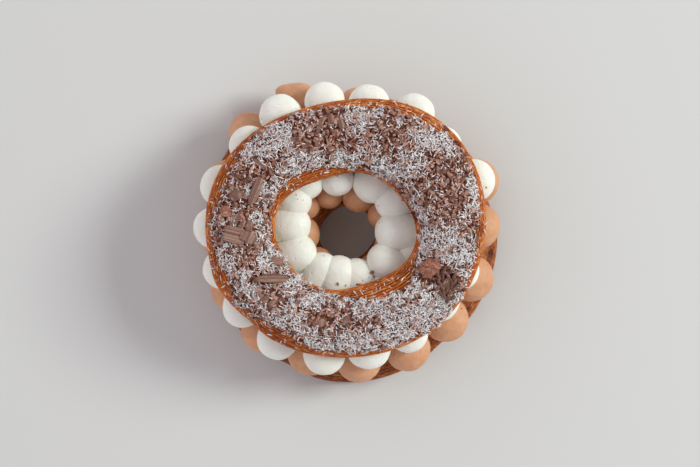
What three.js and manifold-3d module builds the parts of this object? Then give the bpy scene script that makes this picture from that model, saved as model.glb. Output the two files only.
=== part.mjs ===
// A Paris-Brest: a ring of choux pastry cut across into a base and a lid,
// with two tiers of piped cream between them, and coconut and chocolate on the lid.
// Millimetres, +Z up. It stands on its base, with the origin under the middle of its bounding box.

import * as THREE from "three";
import { mergeVertices } from "three/addons/utils/BufferGeometryUtils.js";
import Module from "manifold-3d";

const wasm = await Module();
wasm.setup();

const DEGREE = Math.PI / 180;
const GAP = 0.3; // between touching pieces

// Where each layer starts, up from the table
const BASE_HEIGHT = 17;
const PRALINE_FLOOR = BASE_HEIGHT + GAP;
const PRALINE_TOP = 39.7;
const WHITE_FLOOR = PRALINE_TOP + GAP;
const WHITE_TOP = 58.2;
const LID_FLOOR = WHITE_TOP + GAP;
const LID_HEIGHT = 19.5;

// The halves lie a little off each other's middle
const BASE_CENTRE = new THREE.Vector2(0, 0);
const LID_CENTRE = new THREE.Vector2(-3.2, 3.2);

// An uneven circle: a mean radius with lobes, each [how many round the ring, depth, bearing of one].
// The base's rim is also flatter in places, each [bearing, depth, width in degrees].
const BASE_RIM = { radius: 110, lobes: [[3, 0.8, 20], [5, 0.5, 50]] };
const BASE_FLATS = [[14, 3.8, 8], [50, 5.5, 24], [86, 4, 16], [187, 3.2, 14], [245, 2.4, 8], [310, 2.6, 8]];
const BASE_HOLE = { radius: 20.2, lobes: [[1, 1.8, 165], [2, 0.8, 20], [4, 0.5, 10]] };
const LID_RIM = { radius: 96.8, lobes: [[1, 1.8, 48], [2, 4.4, 13], [3, 1.6, 46], [4, 0.9, -37]] };
const LID_HOLE = { radius: 45.1, lobes: [[1, 1.6, -96], [2, 4.6, 3.5], [4, 1.5, -16]] };
const GROOVE = 0.6; // depth of the nozzle's grooves in the crust

// The lid's piped rope starts and ends here, with a step in its rim
const LID_SEAM = { bearing: 211, depth: 2.4, width: 5 };

// The lid rose unevenly: shares of its height, by how many swells there are round the ring
const LID_SWELLS = [[2, 0.05, 28.6], [5, 0.025, 0]];

// Piped domes, in two rings to a tier. Each dome is its bearing about the layout's middle, how far out it
// stands, its radius, and how many times longer its outer half is than a round dome's, if it is. A tail is
// cream pulled out as the nozzle left. The core between the rings is a disc with a round well, both under cover.
const PRALINE_DOMES = {
  rim: {
    height: 23.4,
    wall: { centre: new THREE.Vector2(-2, 3), radius: 86.5 },
    rows: [
      [3.4, 93.4, 17], [22.4, 100.4, 16.6], [42.5, 90.5, 16.6], [64, 91, 16.6], [86.3, 90.3, 16.8],
      [111.3, 100.4, 17], [134.6, 102.9, 16.6], [157.3, 97, 16.6], [181.2, 93, 17], [205.2, 94.7, 16.8],
      [228.3, 94.6, 17], [251.6, 91.7, 17.2], [274, 92.5, 17], [296.5, 94.1, 17], [318.2, 93.6, 17.2],
      [339.7, 94.3, 17.2],
    ],
    tails: { 5: { bearing: 147, reach: 1.28 }, 6: { bearing: 116, reach: 1.06 } },
  },
  hole: {
    height: 23,
    wall: { centre: new THREE.Vector2(-4, 1.5), radius: 36 },
    rows: [
      [30, 27.4, 11], [76.8, 29.3, 13], [118.6, 32.4, 10.5], [147.8, 38.8, 11], [181.4, 35.6, 13.5],
      [222, 31.9, 11.5], [265, 33, 12], [301, 32, 12], [341.8, 31, 12],
    ],
    tails: {},
  },
};
const WHITE_DOMES = {
  rim: {
    height: 18,
    wall: { centre: new THREE.Vector2(-3.5, 5), radius: 85 },
    rows: [
      [2, 82.5, 14.8], [23.2, 97.3, 15.4], [43.6, 91.1, 14.8], [61.8, 97.8, 15], [81.7, 93.4, 15.2],
      [100.9, 96.6, 14.7], [120.4, 98.8, 15.4], [139, 95.8, 15], [159.8, 99.1, 15.2], [177.5, 98, 15.2],
      [195.6, 94.7, 15], [214.6, 94, 14.8], [235.6, 92.3, 15], [258, 89.1, 15.2], [279.2, 82.7, 16.4],
      [300.4, 82.6, 14.8], [323.1, 80.6, 14.8], [341.1, 82.9, 14.8],
    ],
    tails: {},
  },
  hole: {
    height: 18,
    wall: { centre: new THREE.Vector2(-3.5, 3), radius: 53.5 },
    rows: [
      [2.4, 32.1, 14.5, 1.75], [35.8, 39.2, 14, 1.5], [65.3, 40.3, 15.1, 1.35], [103.2, 40.6, 12.5, 1.65],
      [130, 48.3, 12.5, 1.35], [149.7, 46.8, 13, 1.35], [172.1, 43, 14.5, 1.35], [200.4, 40.2, 14, 1.45],
      [232, 33, 12.5, 1.9], [254, 30.8, 14, 1.8], [279.5, 30.7, 12.5, 1.8], [322, 31.8, 13.5, 1.65],
    ],
    tails: {},
  },
};
const DOME_SPREAD = 0.05; // how much the domes differ in height

// Chocolate pieces as large as berries, by bearing and radius about the lid's middle
const CHOCOLATE = [
  { name: "chocolate_slab", form: "slab", bearing: 183.5, radius: 76, size: [20, 12, 5], turn: -12 },
  { name: "chocolate_shaving", form: "spindle", bearing: 157, radius: 68.5, size: [20, 6.5, 4.5], turn: 68 },
  { name: "chocolate_spindle", form: "spindle", bearing: 214.3, radius: 62.2, size: [25, 7.2, 5], turn: 2 },
  { name: "chocolate_lump", form: "lump", bearing: 334.5, radius: 67, size: [15.5, 14, 9], turn: 30 },
  { name: "chocolate_roll", form: "roll", bearing: 330.5, radius: 82.5, size: [14.5, 12, 6.5], turn: 52 },
  { name: "chocolate_button", form: "lump", bearing: 171.5, radius: 85, size: [8.6, 8, 5.5], turn: 0 },
];
const CHOCOLATE_RAISE = 0.25; // how far a piece's middle stands above the crust, as a share of its height
const CHOCOLATE_CLEAR = 1.15; // the space that small toppings leave round a piece, as a share of its size

// Small toppings fused to the lid: chocolate flakes and coconut shreds, as length, width and thickness
const FLAKES = { count: 48, length: 6.2, width: 3, thickness: 2.4 };
const SHREDS = { count: 40, length: 5.2, width: 1.5, thickness: 1.8 };
const TOPPING_SPREAD = 0.3; // how much they differ in size
const TOPPING_RAISE = 0.16; // how far their middles stand above the crust, as a share of their thickness
const TOPPED_FROM = 0.16; // the covered band's edges, as shares of the way from the hole to the rim
const TOPPED_TO = 0.84;

// A repeatable stream of numbers from 0 to 1
function randomFrom(seed) {
  let state = seed;
  return () => {
    state = (state * 1664525 + 1013904223) % 4294967296;
    return state / 4294967296;
  };
}

const mix = (a, b, share) => a + (b - a) * share;

// A mean with waves round the ring, each [how many, depth, bearing of a crest in degrees]
function waves(mean, lobes, angle) {
  const wave = ([count, depth, bearing]) => depth * Math.cos(count * (angle - bearing * DEGREE));
  return lobes.reduce((sum, lobe) => sum + wave(lobe), mean);
}

const radiusAt = ({ radius, lobes }, angle) => waves(radius, lobes, angle);

const polar = (centre, angle, radius) =>
  new THREE.Vector2(centre.x + radius * Math.cos(angle), centre.y + radius * Math.sin(angle));

// How deep a flat or a step is at an angle
function dent(angle, bearing, depth, width) {
  const away = ((angle / DEGREE - bearing + 540) % 360) - 180;
  return depth * Math.exp(-((away / width) ** 2));
}

// A closed geometry with its shared vertices merged
function welded(geometry) {
  const bare = geometry.clone();
  bare.deleteAttribute("normal");
  bare.deleteAttribute("uv");
  return mergeVertices(bare, 1e-4);
}

// Moves each vertex of a closed geometry by a rule
function shaped(geometry, rule) {
  const closed = welded(geometry);
  const points = closed.getAttribute("position");
  const point = new THREE.Vector3();
  for (let i = 0; i < points.count; i++) {
    point.fromBufferAttribute(points, i);
    rule(point);
    points.setXYZ(i, point.x, point.y, point.z);
  }
  return closed;
}

function toSolid(geometry) {
  const closed = welded(geometry);
  return new wasm.Manifold(
    new wasm.Mesh({
      numProp: 3,
      vertProperties: new Float32Array(closed.getAttribute("position").array),
      triVerts: new Uint32Array(closed.index.array),
    }),
  );
}

// The largest body of a solid, without the scraps that a cut leaves
function largestBody(solid) {
  const bodies = solid.decompose();
  return bodies.reduce((best, body) => (body.volume() > best.volume() ? body : best));
}

function toMesh(name, solid, material) {
  const { vertProperties, triVerts } = solid.getMesh();
  const geometry = new THREE.BufferGeometry()
    .setAttribute("position", new THREE.BufferAttribute(vertProperties, 3))
    .setIndex(new THREE.BufferAttribute(triVerts, 1));
  geometry.computeVertexNormals();
  const mesh = new THREE.Mesh(geometry, material);
  mesh.name = name;
  return mesh;
}

// A ring from a section in shares: across from the hole's edge (0) to the rim (1), and up in millimetres.
// It is turned about a unit hole first, and each of its points is then put in its place.
function ring(section, segments, place) {
  const profile = section.map(([across, up]) => new THREE.Vector2(1 + across, up));
  profile.push(profile[0].clone());
  const turned = new THREE.LatheGeometry(profile, segments).rotateX(Math.PI / 2);
  return toSolid(
    shaped(turned, (p) => {
      const angle = Math.atan2(p.y, p.x);
      const across = Math.hypot(p.x, p.y) - 1;
      p.copy(place(angle, across, p.z));
    }),
  );
}

// How far the base's side stands in from its fullest, at a share of the way up
function baseInset(share) {
  const WIDEST_AT = 0.35;
  const FOOT_IN = 0.05;
  const CUT_IN = 0.085;
  if (share < WIDEST_AT) return FOOT_IN * (1 - share / WIDEST_AT) ** 2;
  return CUT_IN * ((share - WIDEST_AT) / (1 - WIDEST_AT)) ** 2;
}

// The base: widest low down and drawn in to where it was cut, with grooves on both sides
function makeBase() {
  const SEGMENTS = 45;
  const STEPS = 7;
  const groove = GROOVE / (BASE_RIM.radius - BASE_HOLE.radius);
  const side = Array.from({ length: STEPS + 1 }, (_, i) => {
    const share = i / STEPS;
    return [baseInset(share) + (i % 2 ? 0 : groove), share * BASE_HEIGHT];
  });
  const outer = side.map(([inset, up]) => [1 - inset, up]);
  const inner = side.reverse();
  return ring([...outer, ...inner], SEGMENTS, (angle, across, up) => {
    const rim = BASE_FLATS.reduce((sum, flat) => sum - dent(angle, ...flat), radiusAt(BASE_RIM, angle));
    const radius = mix(radiusAt(BASE_HOLE, angle), rim, across);
    const { x, y } = polar(BASE_CENTRE, angle, radius);
    return new THREE.Vector3(x, y, up);
  });
}

// The lid's section is a rounded arch, fuller than a circle's: its height at a share of the way across
const LID_FULL_ACROSS = 2.6;
const LID_FULL_UP = 2.3;
function archHeight(across) {
  const offMiddle = Math.min(1, Math.abs(2 * across - 1));
  return (1 - offMiddle ** LID_FULL_ACROSS) ** (1 / LID_FULL_UP);
}

// Places along the arch, from the rim to the hole: close together on its bare sides, where the grooves are
function archSteps() {
  const SIDE_STEPS = 7;
  const TOP_STEPS = 5;
  const SIDE = 0.3; // each side's share of the way over
  const side = Array.from({ length: SIDE_STEPS + 1 }, (_, i) => (SIDE * i) / SIDE_STEPS);
  const top = Array.from({ length: TOP_STEPS - 1 }, (_, i) => mix(SIDE, 1 - SIDE, (i + 1) / TOP_STEPS));
  const far = side.map((share) => 1 - share).reverse();
  return [...side, ...top, ...far].map((share) => {
    const swing = Math.cos(share * Math.PI);
    return 0.5 + 0.5 * Math.sign(swing) * Math.abs(swing) ** (2 / LID_FULL_ACROSS);
  });
}

// Where a point of the lid's section comes in the uneven ring
function lidPlace(angle, across, up) {
  const rim = radiusAt(LID_RIM, angle) - dent(angle, LID_SEAM.bearing, LID_SEAM.depth, LID_SEAM.width);
  const { x, y } = polar(LID_CENTRE, angle, mix(radiusAt(LID_HOLE, angle), rim, across));
  return new THREE.Vector3(x, y, LID_FLOOR + up * waves(1, LID_SWELLS, angle));
}

// The lid without its toppings, or grown by a margin to cut what lies on it
function makeLid(margin = 0) {
  const SEGMENTS = 50;
  const width = LID_RIM.radius - LID_HOLE.radius;
  const section = archSteps().map((across, i) => {
    const inset = (i % 2 ? GROOVE : 0) - margin;
    const up = archHeight(across);
    const narrower = 1 - (2 * inset * (1 - up)) / width;
    return [0.5 + (across - 0.5) * narrower, Math.max(0, up * (LID_HEIGHT - inset))];
  });
  return ring(section, SEGMENTS, lidPlace);
}

// A point on the lid's crust, with the way that it faces
function onLid(angle, across) {
  const STEP = 0.01;
  const at = (turn, share) => lidPlace(turn, share, LID_HEIGHT * archHeight(share));
  const outwards = at(angle, across + STEP).sub(at(angle, across - STEP));
  const along = at(angle + STEP, across).sub(at(angle - STEP, across));
  return { point: at(angle, across), normal: outwards.cross(along).normalize() };
}

// A piped dome: drawn in where it stands, fullest below its middle, and rounded over the top
function dome(radius, height) {
  const SIDES = 10;
  const STEPS = 4;
  const WAIST = 0.42 * height;
  const LOWEST = -Math.acos(0.72); // the foot is this share of the dome's radius
  const profile = [new THREE.Vector2(0, 0)];
  for (let i = 0; i <= STEPS; i++) {
    const sweep = mix(LOWEST, Math.PI / 2, i / STEPS);
    const reach = sweep < 0 ? WAIST / Math.sin(-LOWEST) : height - WAIST;
    const across = i < STEPS ? radius * Math.cos(sweep) : 0;
    profile.push(new THREE.Vector2(across, WAIST + reach * Math.sin(sweep)));
  }
  return new THREE.LatheGeometry(profile, SIDES).rotateX(Math.PI / 2);
}

// A dome pulled out to a point on one side
function withTail(geometry, { bearing, reach }) {
  const SHARPNESS = 12;
  return shaped(geometry, (p) => {
    const facing = Math.max(0, Math.cos(Math.atan2(p.y, p.x) - bearing * DEGREE));
    const pull = 1 + (reach - 1) * facing ** SHARPNESS;
    p.set(p.x * pull, p.y * pull, p.z);
  });
}

// A dome whose outer half is longer, where outwards is a bearing about the layout's middle
function stretched(geometry, bearing, stretch) {
  const outwards = new THREE.Vector3(Math.cos(bearing * DEGREE), Math.sin(bearing * DEGREE), 0);
  return shaped(geometry, (p) => {
    p.addScaledVector(outwards, (stretch - 1) * Math.max(0, p.dot(outwards)));
  });
}

// A ring of domes, each a little lower than the tallest
function domes({ height, rows, tails }, floor, random) {
  return rows.map(([bearing, path, radius, stretch = 1], i) => {
    const round = dome(radius, height * (1 - DOME_SPREAD * random()));
    const pulled = tails[i] ? withTail(round, tails[i]) : round;
    const { x, y } = polar(new THREE.Vector2(), bearing * DEGREE, path);
    return toSolid(stretched(pulled, bearing, stretch).translate(x, y, floor));
  });
}

// The cream between two rings of domes
function creamCore({ rim, hole }, floor, top) {
  const SEGMENTS = 32;
  const disc = ({ centre, radius }, low, high) =>
    toSolid(
      new THREE.CylinderGeometry(radius, radius, high - low, SEGMENTS)
        .rotateX(Math.PI / 2)
        .translate(centre.x, centre.y, (low + high) / 2),
    );
  return disc(rim.wall, floor, top).subtract(disc(hole.wall, floor - 1, top + 1));
}

// A tier of cream: its core with both rings of domes, cut level where the next layer lies on it
function makeTier(tier, floor, top, seed) {
  const random = randomFrom(seed);
  const pieces = [
    ...domes(tier.rim, floor, random),
    ...domes(tier.hole, floor, random),
    creamCore(tier, floor, top),
  ];
  return wasm.Manifold.union(pieces).trimByPlane([0, 0, -1], -top);
}

// Broken and shaved chocolate, lying flat on its back at the origin, by its size along X, Y and Z
const FORMS = {
  slab([length, width, height]) {
    const BEVEL = 0.7;
    const FRONT = [[-0.5, -0.3], [-0.36, -0.5], [0.42, -0.44], [0.5, 0.06]];
    const BACK = [[0.34, 0.5], [-0.1, 0.42], [-0.46, 0.5]];
    const corners = [...FRONT, ...BACK].map(([x, y]) => new THREE.Vector2(x * length, y * width));
    const outline = new THREE.Shape(corners);
    const broken = new THREE.ExtrudeGeometry(outline, {
      depth: height - 2 * BEVEL,
      bevelSegments: 1,
      bevelSize: BEVEL,
      bevelThickness: BEVEL,
      bevelOffset: -BEVEL,
    });
    return broken.translate(0, 0, BEVEL - height / 2);
  },
  spindle([length, width, height]) {
    const LEAN = 0.2;
    const SHARPEN = 0.25;
    const BEND = 0.05;
    const geometry = new THREE.SphereGeometry(0.5, 8, 7).rotateZ(Math.PI / 2).rotateX(LEAN);
    return shaped(geometry, (p) => {
      const along = 2 * p.x;
      const y = p.y * (1 - SHARPEN * along * along) + BEND * Math.cos(3 * along);
      p.set(p.x * length, y * width, p.z * height);
    });
  },
  lump([length, width, height]) {
    const ROUGH = 0.12;
    const random = randomFrom(Math.round(length * 10));
    const size = new THREE.Vector3(length, width, height);
    return shaped(new THREE.IcosahedronGeometry(0.5, 1), (p) => {
      p.multiplyScalar(1 + ROUGH * (random() - 0.5)).multiply(size);
    });
  },
  roll([length, width, height]) {
    const RIDGES = 5;
    const RIDGE = 0.1;
    const geometry = new THREE.CylinderGeometry(0.5, 0.5, 1, 9, 6).rotateZ(Math.PI / 2);
    return shaped(geometry, (p) => {
      const across = 1 - RIDGE * Math.abs(Math.sin(RIDGES * Math.PI * (p.x + 0.5)));
      p.set(p.x * length, p.y * width * across, p.z * height * across);
    });
  },
};

// Turns a geometry that lies flat to lie on the lid, with its middle raised off the crust
function laidOnLid(geometry, angle, across, turn, raise) {
  const { point, normal } = onLid(angle, across);
  const lean = new THREE.Quaternion().setFromUnitVectors(new THREE.Vector3(0, 0, 1), normal);
  const { x, y, z } = point.addScaledVector(normal, raise);
  return geometry.rotateZ(turn).applyQuaternion(lean).translate(x, y, z);
}

// The share of the way across the lid at a radius
function acrossLid(angle, radius) {
  const inner = radiusAt(LID_HOLE, angle);
  return (radius - inner) / (radiusAt(LID_RIM, angle) - inner);
}

function makeChocolate({ form, bearing, radius, size, turn }, lidGrown) {
  const angle = bearing * DEGREE;
  const raise = CHOCOLATE_RAISE * size[2];
  const geometry = laidOnLid(FORMS[form](size), angle, acrossLid(angle, radius), turn * DEGREE, raise);
  return largestBody(toSolid(geometry).subtract(lidGrown));
}

// Whether a topping would come near one of the large chocolate pieces
function nearChocolate(angle, radius, reach) {
  const here = polar(new THREE.Vector2(), angle, radius);
  return CHOCOLATE.some((piece) => {
    const there = polar(new THREE.Vector2(), piece.bearing * DEGREE, piece.radius);
    const offset = here.clone().sub(there).rotateAround(new THREE.Vector2(), -piece.turn * DEGREE);
    const [length, width] = piece.size;
    return Math.hypot(offset.x / (length / 2 + reach), offset.y / (width / 2 + reach)) < CHOCOLATE_CLEAR;
  });
}

// Toppings spread evenly over the lid by the golden angle, each turned at random and half sunk in the crust
function scatter({ count, length, width, thickness }, random) {
  const GOLDEN_ANGLE = 137.508 * DEGREE;
  const start = random() * 2 * Math.PI;
  const made = [];
  for (let i = 0; made.length < count; i++) {
    const angle = start + i * GOLDEN_ANGLE;
    const inner = radiusAt(LID_HOLE, angle);
    const outer = radiusAt(LID_RIM, angle);
    const from = mix(inner, outer, TOPPED_FROM);
    const to = mix(inner, outer, TOPPED_TO);
    const radius = Math.sqrt(mix(from ** 2, to ** 2, random()));
    const size = 1 + TOPPING_SPREAD * (2 * random() - 1);
    const turn = random() * Math.PI;
    if (nearChocolate(angle, radius, 0.7 * length)) continue;
    const flake = new THREE.OctahedronGeometry(0.5, 0).scale(length * size, width * size, thickness);
    const across = acrossLid(angle, radius);
    made.push(toSolid(laidOnLid(flake, angle, across, turn, TOPPING_RAISE * thickness)));
  }
  return made;
}

const crust = new THREE.MeshStandardMaterial({ color: 0x9a5a30, roughness: 0.6, metalness: 0 });
const toppedCrust = new THREE.MeshStandardMaterial({ color: 0x96796f, roughness: 0.8, metalness: 0 });
const pralineCream = new THREE.MeshStandardMaterial({ color: 0xcb9b78, roughness: 0.5, metalness: 0 });
const whippedCream = new THREE.MeshStandardMaterial({ color: 0xf0efe6, roughness: 0.45, metalness: 0 });
const milkChocolate = new THREE.MeshStandardMaterial({ color: 0x8f6656, roughness: 0.6, metalness: 0 });

const praline = makeTier(PRALINE_DOMES, PRALINE_FLOOR, PRALINE_TOP, 11);
const white = makeTier(WHITE_DOMES, WHITE_FLOOR, WHITE_TOP, 29);

const random = randomFrom(5);
const lid = wasm.Manifold.union([makeLid(), ...scatter(FLAKES, random), ...scatter(SHREDS, random)]);
const lidGrown = makeLid(GAP);

const pastry = new THREE.Group();
pastry.add(
  toMesh("base", makeBase(), crust),
  toMesh("praline_cream", praline, pralineCream),
  toMesh("white_cream", white, whippedCream),
  toMesh("lid", lid, toppedCrust),
  ...CHOCOLATE.map((piece) => toMesh(piece.name, makeChocolate(piece, lidGrown), milkChocolate)),
);

// The origin goes under the middle of the whole
const box = new THREE.Box3().setFromObject(pastry);
const middle = box.getCenter(new THREE.Vector3());
pastry.position.set(-middle.x, -middle.y, -box.min.z);

export default pastry;
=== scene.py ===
# %% [markdown]
# A Paris-Brest is a ring of choux pastry, baked brown and cut across like a bread roll. Between its halves
# stand two tiers of piped cream: praline below and whipped cream above, each a ring of domes round the rim
# and another round the hole. Coconut shreds and shaved chocolate cover the lid.
# Every size below is in millimetres, and becomes metres only where a mesh is written. The floor, the light and
# the room are given in metres.

import math

import bpy
import numpy as np
from mathutils import Matrix, Vector, noise
from mathutils.bvhtree import BVHTree


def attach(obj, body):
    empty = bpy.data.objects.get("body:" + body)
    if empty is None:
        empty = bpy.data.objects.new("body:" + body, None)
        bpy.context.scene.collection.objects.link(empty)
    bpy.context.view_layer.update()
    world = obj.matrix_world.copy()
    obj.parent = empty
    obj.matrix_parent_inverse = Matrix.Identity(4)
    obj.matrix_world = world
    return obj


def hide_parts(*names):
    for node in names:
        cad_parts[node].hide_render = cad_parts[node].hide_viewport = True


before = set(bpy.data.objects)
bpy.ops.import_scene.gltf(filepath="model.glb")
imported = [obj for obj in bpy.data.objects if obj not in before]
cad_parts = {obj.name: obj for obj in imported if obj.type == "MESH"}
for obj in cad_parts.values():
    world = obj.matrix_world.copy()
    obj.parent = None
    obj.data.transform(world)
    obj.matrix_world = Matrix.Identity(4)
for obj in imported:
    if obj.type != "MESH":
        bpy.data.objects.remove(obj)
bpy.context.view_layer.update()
MM = 0.001


# %% [markdown]
# Every piece starts as one of Blender's primitives. Dough, cream and broken chocolate have no edge to extrude
# or bevel, so each primitive is pressed into shape instead: a rule takes all of its points at once and says
# where each goes, as fingers and a palette knife would. Numpy arrays keep that fast.

# %% Helpers that add, press and join pieces
def deselect():
    bpy.ops.object.select_all(action="DESELECT")


def named(name):
    piece = bpy.context.active_object
    piece.name = name
    piece.data.name = name
    return piece


def points_of(piece):
    flat = np.empty(len(piece.data.vertices) * 3)
    piece.data.vertices.foreach_get("co", flat)
    return flat.reshape(-1, 3) / MM


def press(piece, points):
    piece.data.vertices.foreach_set("co", (np.asarray(points) * MM).ravel())
    piece.data.update()
    return piece


def paint(piece, name, values):
    """Stores one number for each point, for a material or a scatter to read."""
    layer = piece.data.attributes.new(name, "FLOAT", "POINT")
    layer.data.foreach_set("value", np.asarray(values, np.float32))


def select_only(pieces):
    deselect()
    for piece in pieces:
        piece.select_set(True)
    bpy.context.view_layer.objects.active = pieces[0]


def join(pieces, name):
    select_only(pieces)
    bpy.ops.object.join()
    return named(name)


def triangles(piece):
    return sum(len(face.vertices) - 2 for face in piece.data.polygons)


def random_from(seed):
    """A repeatable stream of numbers from 0 to 1."""
    state = seed
    while True:
        state = (state * 1664525 + 1013904223) % 4294967296
        yield state / 4294967296


def wobble(points, size, seed):
    """Smooth noise from -1 to 1 at each point, with swells about as long as the size."""
    offset = Vector((seed * 17.3, seed * 5.1, seed * 9.7))
    return np.array([noise.noise(Vector(p) / size + offset) for p in points])


def round_ring(table, angles):
    """Reads a table of [bearing in degrees, value] at any angle, smoothly all the way round."""
    bearings, values = np.array(table).T
    return np.interp(np.degrees(angles) % 360, bearings, values, period=360)


# %% [markdown]
# The layout is that of the solid model, so each piece stands where its solid does. The layers lie a few
# millimetres off each other's middle, as the baker set them down, and neither half is a true circle: a few
# lobes round the ring, each a count, a depth and a bearing, give them their shape. The base's rim is flatter
# in places, each given by its bearing, its depth and its width in degrees. The rope of dough that the lid was
# piped from starts and ends at the lower left, where its rim stands out first and then steps in. A rim and a
# hole are each a mean radius with its lobes. Sculpting could give the same outlines, but not the same each run.

# %% The layout of the ring
MIDDLE = np.array([1.032, 0.393])  # where the layout's own middle comes in the model
PRALINE_FLOOR, PRALINE_TOP = 17.3, 39.7
WHITE_FLOOR, WHITE_TOP = 40.0, 58.2
LID_FLOOR, LID_HEIGHT = 58.5, 19.5
BASE_HEIGHT = 17.0
BASE_CENTRE = np.array([0.0, 0.0])
LID_CENTRE = np.array([-3.2, 3.2])
BASE_RIM = (110.0, [[3, 0.8, 20], [5, 0.5, 50]])
BASE_FLATS = [[14, 3.8, 8], [50, 5.5, 24], [86, 4, 16], [187, 3.2, 14], [245, 2.4, 8], [310, 2.6, 8]]
BASE_HOLE = (20.2, [[1, 1.8, 165], [2, 0.8, 20], [4, 0.5, 10]])
LID_RIM = (96.8, [[1, 1.8, 48], [2, 4.4, 13], [3, 1.6, 46], [4, 0.9, -37]])
LID_HOLE = (45.1, [[1, 1.6, -96], [2, 4.6, 3.5], [4, 1.5, -16]])
LID_SWELLS = (1.0, [[2, 0.05, 28.6], [5, 0.025, 0]])
LID_SEAM = [[203, -2.2, 8], [224, 1.5, 6]]


def lobed(outline, angles):
    mean, lobes = outline
    return mean + sum(depth * np.cos(count * (angles - math.radians(at))) for count, depth, at in lobes)


def polar(centre, angles, radii):
    x = MIDDLE[0] + centre[0] + radii * np.cos(angles)
    y = MIDDLE[1] + centre[1] + radii * np.sin(angles)
    return np.stack([x, y], axis=-1)


def turn_from(angles, bearing):
    """How far each angle is from a bearing, in degrees from -180 to 180."""
    return (np.degrees(angles) - bearing + 540) % 360 - 180


def dent(angles, bearing, depth, width):
    """How far the rim is pushed in at each angle, deepest at the bearing."""
    return depth * np.exp(-((turn_from(angles, bearing) / width) ** 2))


print("tops in mm: base", BASE_HEIGHT, "praline", PRALINE_TOP, "white", WHITE_TOP, "lid", LID_FLOOR + LID_HEIGHT)


# %% [markdown]
# Both halves are one ring with a section. Spinning the section would give true circles, so a grid is used: it
# has the right faces already, and is rolled up, one way round the ring and the other way round the section,
# with its two seams merged. Each point is put where the section, the uneven rim and hole and the relief want
# it. Grooves stand square to the section, so the section's own normals carry them.

# %% A ring with any section
def merge(piece, distance):
    """Welds points that lie closer than the distance in millimetres."""
    select_only([piece])
    bpy.ops.object.mode_set(mode="EDIT")
    bpy.ops.mesh.select_all(action="SELECT")
    bpy.ops.mesh.remove_doubles(threshold=distance * MM)
    bpy.ops.object.mode_set(mode="OBJECT")


def ring(name, section, around, place, relief):
    """section: closed points from the rim's foot upwards, each across (0 at the hole, 1 at the rim) and up."""
    steps = len(section)
    deselect()
    bpy.ops.mesh.primitive_grid_add(x_subdivisions=around, y_subdivisions=steps, size=1)
    piece = named(name)
    shares = points_of(piece) * MM + 0.5
    turn = np.rint(shares[:, 0] * around).astype(int) % around
    index = np.rint(shares[:, 1] * steps).astype(int) % steps
    angles = turn * 2 * math.pi / around
    across, up = section[index].T
    width = 60.0  # only the normals use it, so a rough width will do
    forward = np.roll(section, -1, axis=0) - np.roll(section, 1, axis=0)
    normals = np.stack([forward[:, 1], -forward[:, 0] * width], axis=-1)
    normals /= np.maximum(np.linalg.norm(normals, axis=1, keepdims=True), 1e-9)
    out, rise = normals[index].T * relief(angles, across, up)
    press(piece, place(angles, across, up, out, rise))
    return piece, angles, across, up


# %% [markdown]
# Choux is piped with a star nozzle, and the bead's fine ridges bake into the crust: they run round the ring a
# couple of millimetres apart, wander, split and fade. Each ridge has a rounded crest and a sharp furrow, which
# is what the absolute value of a sine gives. Noise bends the ridges and changes how deep they are. A bump in
# the material would be cheaper, but wouldn't show at the rim. Where a bubble broke through the crust, or a piece
# broke off its edge, a hollow is left.

# %% Ridges in the crust
RIDGE_SPACING = 2.3
DRAWN_OUT = 0.22  # lengths round the ring count this much shorter, so the noise runs along the ridges


def ridges(angles, radius, arc, depth, seed):
    """radius and arc: millimetres out from the middle and over the section. Returns the relief, never above 0."""
    where = np.column_stack([DRAWN_OUT * radius * np.cos(angles), DRAWN_OUT * radius * np.sin(angles), arc])
    drift = 1.5 * wobble(where, 14, seed) + 0.35 * wobble(where, 4, seed + 2)
    crest = np.abs(np.sin(math.pi * (arc + drift) / RIDGE_SPACING)) ** 0.75
    strength = 0.9 + 0.6 * wobble(where, 8, seed + 1)
    return -depth * np.clip(strength, 0.2, 1.35) * (1 - crest)


def away_from(places, x, y, half_length, half_width, turn=0):
    """The squared distance of each place from an oval's middle, where 1 is on its edge."""
    angle = math.radians(turn)
    along = (places - [x, y]) @ [math.cos(angle), math.sin(angle)]
    beside = (places - [x, y]) @ [-math.sin(angle), math.cos(angle)]
    return (along / half_length) ** 2 + (beside / half_width) ** 2


def hollows(places, rows):
    """rows: x, y, half the width, half the height and the depth. Returns how far each place is sunk."""
    return np.max([depth * np.exp(-(away_from(places, *oval) ** 2)) for *oval, depth in rows], axis=0)


# %% [markdown]
# The base: widest low down, flat where it stands, and drawn in to the cut. The cut face shows the pale open
# crumb. Separate pieces for crumb and crust would leave a seam, so the points of one mesh are marked for the
# material instead, and so are the furrows, which the material darkens as painted shade.

# %% The base of the ring
BASE_WIDTH, FLAT_EDGE, CRUMB_DEPTH = 89.8, 0.2, 0.35
# A full furrow is the depth in mm at which the furrow's painted shade is darkest.
BASE_RIDGE, BASE_FULL_FURROW = 1.4, 1.25


def base_inset(share):
    """How far the side is drawn in, by its share of the height."""
    widest_at, foot_in, cut_in = 0.35, 4.5, 7.6
    low = foot_in * np.clip(1 - share / widest_at, 0, 1) ** 2
    high = cut_in * np.clip((share - widest_at) / (1 - widest_at), 0, 1) ** 2
    return low + high


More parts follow.
